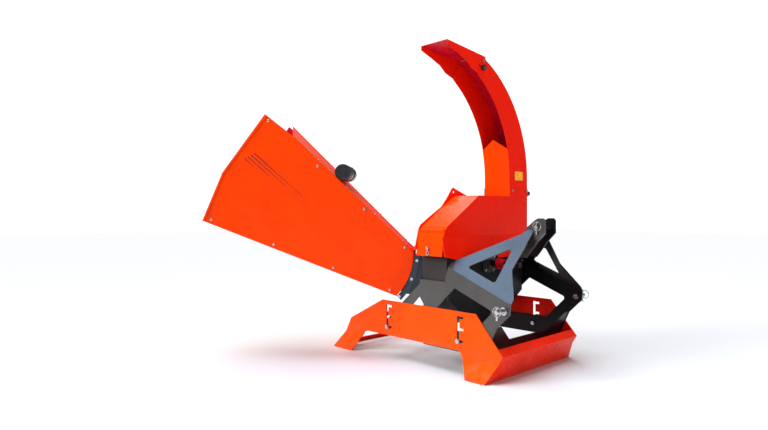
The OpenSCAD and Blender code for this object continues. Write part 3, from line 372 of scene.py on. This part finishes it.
# The deflector's inner faces look at a point just above its lower edge and take a painted shade of red; its faces
# that look along +X take a painted shade of orange.
tip_lo, tip_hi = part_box("deflector_hood")
tip_mid = Vector(((tip_lo.x + tip_hi.x) / 2, (tip_lo.y + tip_hi.y) / 2, tip_lo.z + 0.02))
dress("deflector_hood", paint("deflector_paint", ORANGE, PRIMER, INNER_SHADE_RED, tip_mid, SHADED_ORANGE))


# ---------------------------------------------------------------- mesh tools

def make(name, verts, faces, material, body, slot, sharp=35.0):
    """Adds a piece in the frame's coordinates, smooth except at edges sharper than an angle."""
    mesh = bpy.data.meshes.new(name)
    mesh.from_pydata([tuple(v) for v in verts], [], faces)
    mesh.update()
    mesh.materials.append(material)
    mesh.polygons.foreach_set("use_smooth", [True] * len(mesh.polygons))
    bm = bmesh.new()
    bm.from_mesh(mesh)
    bmesh.ops.recalc_face_normals(bm, faces=bm.faces)
    for edge in bm.edges:
        if len(edge.link_faces) == 2 and edge.calc_face_angle(0.0) > math.radians(sharp):
            edge.smooth = False
    bm.to_mesh(mesh)
    bm.free()
    obj = bpy.data.objects.new(name, mesh)
    bpy.context.scene.collection.objects.link(obj)
    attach(obj, body)
    return obj


def axes_of(direction, hint=UP):
    """Two unit vectors square to a direction."""
    w = unit(direction)
    if abs(w.dot(hint)) > 0.95:
        hint = Vector((1, 0, 0))
    u = unit(hint.cross(w))
    return u, w.cross(u)


def sweep(path, radius, sides=10, closed=False):
    """Round rod along a path; radius is a number or a function of the point's index."""
    verts, faces = [], []
    n = len(path)
    last = None
    for i, p in enumerate(path):
        before = path[i - 1] if i or closed else path[0]
        after = path[(i + 1) % n] if i < n - 1 or closed else path[-1]
        w = unit(after - before)
        u = axes_of(w)[0] if last is None else unit(last - w * last.dot(w))
        last = u
        v = w.cross(u)
        r = radius(i) if callable(radius) else radius
        for k in range(sides):
            a = 2 * math.pi * k / sides
            verts.append(p + r * (math.cos(a) * u + math.sin(a) * v))
    rings = n if closed else n - 1
    for i in range(rings):
        for k in range(sides):
            a, b = i * sides, ((i + 1) % n) * sides
            m = (k + 1) % sides
            faces.append((a + k, a + m, b + m, b + k))
    if not closed:
        faces.append(tuple(range(sides - 1, -1, -1)))
        faces.append(tuple(range((n - 1) * sides, n * sides)))
    return verts, faces


def lathe(profile, origin, axis, segments=48, shape=None):
    """Turned form from (radius, height) pairs; shape(angle, radius, height) gives the radius."""
    u, v = axes_of(axis)
    w = unit(axis)
    verts, faces = [], []
    for r, h in profile:
        for k in range(segments):
            a = 2 * math.pi * k / segments
            rr = shape(a, r, h) if shape else r
            verts.append(origin + w * h + rr * (math.cos(a) * u + math.sin(a) * v))
    top = (len(profile) - 1) * segments
    for a in range(0, top, segments):
        b = a + segments
        for k in range(segments):
            m = (k + 1) % segments
            faces.append((a + k, a + m, b + m, b + k))
    faces.append(tuple(range(segments - 1, -1, -1)))
    faces.append(tuple(range(top, top + segments)))
    return verts, faces


def slab(corners, normal, thickness):
    """Flat plate from an outline, thickened along a normal."""
    n = len(corners)
    step = unit(normal) * thickness
    verts = list(corners) + [c + step for c in corners]
    faces = [tuple(range(n - 1, -1, -1)), tuple(range(n, 2 * n))]
    faces += [(i, (i + 1) % n, n + (i + 1) % n, n + i) for i in range(n)]
    return verts, faces


def rounded_outline(a, b, c, d, r, steps=5):
    """Corners a, b, c, d in order, with each corner rounded by r."""
    out = []
    ring = [a, b, c, d]
    for i, p in enumerate(ring):
        to_last = unit(ring[i - 1] - p)
        to_next = unit(ring[(i + 1) % 4] - p)
        centre = p + r * (to_last + to_next)
        for k in range(steps + 1):
            t = math.pi / 2 * k / steps
            out.append(centre - r * (math.cos(t) * to_next + math.sin(t) * to_last))
    return out


def weld_bead(name, points, radius, body, slot, material, pitch=0.004):
    """Rippled fillet weld along a path of corner points."""
    path = []
    for a, b in zip(points, points[1:]):
        count = max(2, int((b - a).length / pitch))
        path.extend(a.lerp(b, k / count) for k in range(count))
    path.append(points[-1])
    ripple = [radius * (0.80 + 0.22 * (i % 2) + 0.10 * rng.random()) for i in range(len(path))]
    return make(name, *sweep(path, lambda i: ripple[i], 8), material, body, slot, 80)


def arc_points(centre, radius, start, end, count, x):
    """Points on a circle in the YZ plane at one x, angles in degrees from +Y toward +Z."""
    angles = [math.radians(start + (end - start) * k / count) for k in range(count + 1)]
    y, z = centre
    return [Vector((x, y + radius * math.cos(a), z + radius * math.sin(a))) for a in angles]


# ---------------------------------------------------------------- studio

def floor():
    mesh = bpy.data.meshes.new("floor")
    half = 25.0
    corners = ((-1, -1), (1, -1), (1, 1), (-1, 1))
    mesh.from_pydata([(x * half, y * half, GROUND) for x, y in corners], [], [(0, 1, 2, 3)])
    g = Graph("floor_white")
    g.set(Base_Color=(0.66, 0.66, 0.665), Roughness=0.75, Specular_IOR_Level=0.2)
    mesh.materials.append(g.mat)
    obj = bpy.data.objects.new("floor", mesh)
    bpy.context.scene.collection.objects.link(obj)


def link_light(name, data, place, target, glossy):
    obj = bpy.data.objects.new(name, data)
    obj.location = place
    obj.rotation_euler = (Vector(target) - Vector(place)).to_track_quat("-Z", "Y").to_euler()
    obj.visible_glossy = glossy
    bpy.context.scene.collection.objects.link(obj)


def area_light(name, place, target, size, power, colour=(1, 1, 1), glossy=True):
    data = bpy.data.lights.new(name, "AREA")
    data.shape = "SQUARE"
    data.size = size
    data.energy = power
    data.color = colour
    link_light(name, data, place, target, glossy)


def soft_sun(name, place, strength, angle, colour=(1, 1, 1)):
    data = bpy.data.lights.new(name, "SUN")
    data.energy = strength
    data.angle = math.radians(angle)
    data.color = colour
    link_light(name, data, place, (0, 0, 0), False)


def studio():
    """Pale floor, three soft suns, two panels, and a world that is white to the camera only."""
    floor()
    soft_sun("top", (-0.4, -0.5, 3.0), 3.0, 50)
    soft_sun("key", (-1.3, -2.6, 1.3), 2.9, 25)
    soft_sun("fill", (3.0, -0.3, 0.8), 0.75, 40, (1.0, 0.96, 0.95))
    area_light("sky_panel", (-0.6, -1.5, 3.2), (-0.1, -0.4, 0.1), 1.8, 44, (0.30, 0.60, 1.0))
    area_light("rim", (-2.4, 1.7, 3.3), (-0.2, 0, 0.4), 1.4, 34, (1.0, 0.97, 0.95))
    world = bpy.data.worlds.new("studio_world")
    bpy.context.scene.world = world
    world.use_nodes = True
    tree = world.node_tree
    tree.nodes.clear()
    out = tree.nodes.new("ShaderNodeOutputWorld")
    path = tree.nodes.new("ShaderNodeLightPath")
    seen = tree.nodes.new("ShaderNodeBackground")
    soft = tree.nodes.new("ShaderNodeBackground")
    mix = tree.nodes.new("ShaderNodeMixShader")
    seen.inputs[0].default_value = (1, 1, 1, 1)
    seen.inputs[1].default_value = 1.2
    soft.inputs[0].default_value = (0.86, 0.93, 1.0, 1)
    soft.inputs[1].default_value = 0.22
    tree.links.new(path.outputs["Is Camera Ray"], mix.inputs[0])
    tree.links.new(soft.outputs[0], mix.inputs[1])
    tree.links.new(seen.outputs[0], mix.inputs[2])
    tree.links.new(mix.outputs[0], out.inputs[0])


def camera():
    """Camera at the photo's angle."""
    data = bpy.data.cameras.new("camera")
    data.sensor_width = 36.0
    data.lens = 27.3
    obj = bpy.data.objects.new("camera", data)
    obj.location = (2.033, -3.132, 0.338)
    yaw, pitch = math.radians(136.19), math.radians(-0.37)
    level = math.cos(pitch)
    look = Vector((math.cos(yaw) * level, math.sin(yaw) * level, math.sin(pitch)))
    obj.rotation_euler = look.to_track_quat("-Z", "Y").to_euler()
    bpy.context.scene.collection.objects.link(obj)
    bpy.context.scene.camera = obj


# ---------------------------------------------------------------- turned and moulded pieces

def reach(node, origin, axis):
    """Span of a node along an axis from an origin, and its greatest distance from that axis."""
    w = unit(axis)
    along, away = [], []
    for vert in NODES[node].data.vertices:
        d = vert.co - origin
        along.append(d.dot(w))
        away.append((d - w * d.dot(w)).length)
    return min(along), max(along), max(away)


def document_tube():
    """Screw-cap manual tube: a plain barrel with end beads and a ribbed cap."""
    joint = JOINTS["cap_turn"]
    origin, axis = Vector(joint["pos_m"]), unit(joint["axis"])
    start, end, _ = reach("document_tube", origin, axis)
    cap_start, cap_end, cap_r = reach("tube_cap", origin, axis)
    r = cap_r - 0.0031
    barrel = [
        (r * 0.90, start), (r * 0.985, start + 0.001), (r, start + 0.004), (r, start + 0.012),
        (r * 0.978, start + 0.015), (r * 0.978, cap_start - 0.016), (r, cap_start - 0.013),
        (r, cap_start - 0.004), (r * 0.96, cap_start - 0.001), (r * 0.94, end),
    ]
    turned = lathe(barrel, origin, axis, 64)
    tube = make("manual_tube", *turned, black_plastic, "hopper", "black_plastic")
    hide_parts("document_tube")

    def grip(angle, radius, height):
        inside = cap_start + 0.004 < height < cap_end - 0.006
        return radius - (0.0016 if inside and math.cos(36 * angle) < 0 else 0.0)

    cap = [
        (r + 0.0002, cap_start), (cap_r, cap_start + 0.001), (cap_r, cap_start + 0.005),
        (cap_r, cap_end - 0.007), (cap_r - 0.0006, cap_end - 0.003), (cap_r - 0.004, cap_end),
        (cap_r - 0.012, cap_end), (cap_r - 0.014, cap_end - 0.0025), (0.006, cap_end - 0.0025),
    ]
    turned = lathe(cap, origin, axis, 144, grip)
    lid = make("manual_tube_lid", *turned, black_plastic, "cap", "black_plastic")
    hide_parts("tube_cap")
    across = max(axes_of(axis), key=lambda v: abs(v.z))
    around = axis.cross(across)
    for k, share in enumerate((0.22, 0.70)):
        at = origin + axis * (start + (cap_start - start) * share)
        band = [
            at + (r + 0.001) * (math.cos(t) * across + math.sin(t) * around)
            for t in (2 * math.pi * i / 40 for i in range(40))
        ]
        make(f"tube_strap_{k + 1}", *sweep(band, 0.0022, 6, True), zinc, "hopper", "zinc")


def lobed_knob(name, node, joint_name, body):
    """Five-lobed hand knob with a neck, a crowned top and a steel insert."""
    joint = JOINTS[joint_name]
    origin, axis = Vector(joint["pos_m"]), unit(joint["axis"])
    start, end, radius = reach(node, origin, axis)
    tall = end - start

    def lobes(angle, r, height):
        share = min(1.0, max(0.0, (height - start) / tall - 0.25) * 5)
        return r * (1.0 - 0.13 * share * (1 - math.cos(5 * angle)) / 2)

    def scaled(shares):
        return [(r * radius, start + h * tall) for r, h in shares]

    grip = scaled([
        (0.45, 0.0), (0.50, 0.02), (0.50, 0.26), (0.60, 0.30), (0.92, 0.36), (0.985, 0.42),
        (1.0, 0.52), (1.0, 0.78), (0.97, 0.88), (0.88, 0.95), (0.70, 0.985), (0.40, 1.0),
        (0.36, 0.985), (0.34, 0.93), (0.05, 0.93),
    ])
    turned = lathe(grip, origin, axis, 80, lobes)
    knob = make(name, *turned, black_plastic, body, "black_plastic", 60)
    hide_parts(node)
    insert = scaled([(0.30, 0.90), (0.30, 0.955), (0.27, 0.97), (0.05, 0.97)])
    make(name + "_insert", *lathe(insert, origin, axis, 32), zinc, body, "zinc")


def pinstripes():
    """Four tapering stripes on the hopper's near flank."""
    normal, point, corners = dominant_face("hopper_side_near", -FOLD_AXIS)
    along = unit(UP.cross(normal))
    if along.x > 0:
        along = -along
    up = unit(normal.cross(along))
    up = up if up.z > 0 else -up

    def on_flank(p):
        return p - normal * ((p - point).dot(normal) - FILM)

    peak = max(corners, key=lambda c: c.z)
    tilt = math.radians(42)
    ray = unit(along * math.cos(tilt) + up * math.sin(tilt))
    across = unit(ray.cross(normal)) * 0.0026
    for k, length in enumerate((0.408, 0.300, 0.197, 0.077)):
        a = on_flank(peak + along * (0.069 + 0.0205 * k) - up * (0.249 + 0.011 * k))
        b = a - ray * length
        sheet = slab([a - across, a + across, b + across * 0.4, b - across * 0.4], normal, 0.0004)
        make(f"pinstripe_{k + 1}", *sheet, stripe_film, "hopper", "black_plastic")


def roof_seams():
    """A seam strip along each side of the hopper's roof."""
    outward, _, roof = dominant_face("hopper_top", UP)
    lateral = sorted(roof, key=lambda c: c.dot(FOLD_AXIS))
    level = max(c.dot(outward) for c in roof)
    half = len(lateral) // 2
    for name, group in (("near", lateral[:half]), ("far", lateral[half:])):
        places = {(round(c.x, 5), round(c.y, 5), round(c.z, 5)) for c in group}
        ends = sorted(places, key=lambda c: c[2])
        low, high = Vector(ends[0]), Vector(ends[-1])
        run = unit(high - low)
        inward = FOLD_AXIS if name == "near" else -FOLD_AXIS
        inward = unit(inward - run * inward.dot(run))
        a = low + run * 0.012
        b = high - run * 0.006
        w = inward * 0.034
        lift = outward * 0.0004
        plate = [q + lift for q in (a, b, b + w, a + w)]
        plate = [q + outward * (level - (q - lift).dot(outward)) for q in plate]
        strip = slab(plate, outward, 0.0018)
        make(f"roof_seam_{name}", *strip, seam_paint, "hopper", "hopper_orange")


def chute_plate():
    """Plain amber plate on the chute's flank, with no lettering."""
    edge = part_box("chute_shell")[1]
    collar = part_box("chute_turntable")[1].z
    x = edge.x + FILM
    y1 = edge.y - 0.054
    y0 = y1 - 0.100
    z0 = collar + 0.055
    z1 = z0 + 0.060
    ring = [Vector((x, y, z)) for y, z in ((y0, z0), (y1, z0), (y1, z1), (y0, z1))]
    plate = slab(rounded_outline(*ring, 0.006), Vector((1, 0, 0)), 0.0006)
    make("blank_plate", *plate, amber_film, "chute", "hood_orange")


def welds():
    """Fillet welds on the drum, the feed throat and the ends of the cross beams."""
    lo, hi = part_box("lower_housing")
    for name, x in (("front", hi.x - 0.0005), ("rear", lo.x + 0.0005)):
        path = arc_points((0.0, 0.0), -lo.z, 193, 347, 90, x)
        weld_bead(f"drum_weld_{name}", path, 0.0026, "frame", "frame_black", shaded_frame_paint, 0.006)
    x = lo.x - 0.001
    knife_lo, knife_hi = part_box("bed_knife")
    y0, y1 = knife_lo.y - 0.004, knife_hi.y + 0.004
    z0 = knife_hi.z - 0.004
    z1 = z0 + 0.130
    ring = [Vector((x, y, z)) for y, z in ((y0, z0), (y1, z0), (y1, z1), (y0, z1), (y0, z0))]
    weld_bead("throat_weld", ring, 0.003, "frame", "throat_slate", slate_paint)
    beam = [v.co for v in NODES["front_cross_beam"].data.vertices]
    edge_y = max(v.y for v in beam) - 0.001
    for name, sign in (("near", -1), ("far", 1)):
        end = [v for v in beam if v.y * sign > edge_y]
        low = min(end, key=lambda v: v.z - v.x)
        high = max(end, key=lambda v: v.z + v.x)
        inward = Vector((0, -sign * 0.001, 0))
        path = [low + inward, high + inward]
        weld_bead(f"beam_weld_{name}", path, 0.003, "frame", "frame_black", shaded_frame_paint)


def grease_nipples():
    """One zinc nipple on top of each bearing casting."""
    profile = [
        (0.0045, -0.002), (0.0045, 0.003), (0.0030, 0.0035),
        (0.0030, 0.008), (0.0036, 0.0095), (0.0015, 0.011),
    ]
    for name, sign in (("front", 1), ("rear", -1)):
        lo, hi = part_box(f"{name}_bearing")
        seat = lo.x if sign > 0 else hi.x
        foot = Vector((seat + sign * 0.019, 0.0, 0.052))
        turned = lathe(profile, foot, UP, 20)
        make(f"grease_nipple_{name}", *turned, zinc, "frame", "zinc")


def hood_ridge():
    """Rounded ridge pressed along the upper fold of the hood's near side."""
    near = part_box("hood_shell")[0].y
    side = [v.co for v in NODES["hood_shell"].data.vertices if v.co.y < near + 0.036]
    fold = max(v.z for v in side)
    ends = [v for v in side if v.z > fold - 0.0005]
    y = min(v.y for v in ends)
    start, stop = min(v.x for v in ends), max(v.x for v in ends)
    places = (start + 0.003, start + 0.006, stop - 0.006, stop - 0.003)
    radii = (0.006, 0.011, 0.011, 0.006)
    path = [Vector((x, y + 0.0015, fold - 0.004)) for x in places]
    make("hood_ridge", *sweep(path, lambda i: radii[i], 20), hood_paint, "hood", "hood_orange")


stripe_film = plastic("stripe_film", (0.020, 0.006, 0.005), 0.35)
amber_film = plastic("amber_film", (0.85, 0.33, 0.01), 0.35)
seam_paint = paint("seam_paint", (1.0, 0.080, 0.002), PRIMER, edge=0.0010)
document_tube()
lobed_knob("lock_knob_grip", "chute_lock_knob", "chute_lock_turn", "lock_knob")
lobed_knob("tilt_knob_grip", "deflector_knob", "deflector_knob_turn", "tilt_knob")
pinstripes()
roof_seams()
chute_plate()
welds()
grease_nipples()
hood_ridge()

studio()
camera()
bpy.context.scene.view_settings.view_transform = "Standard"
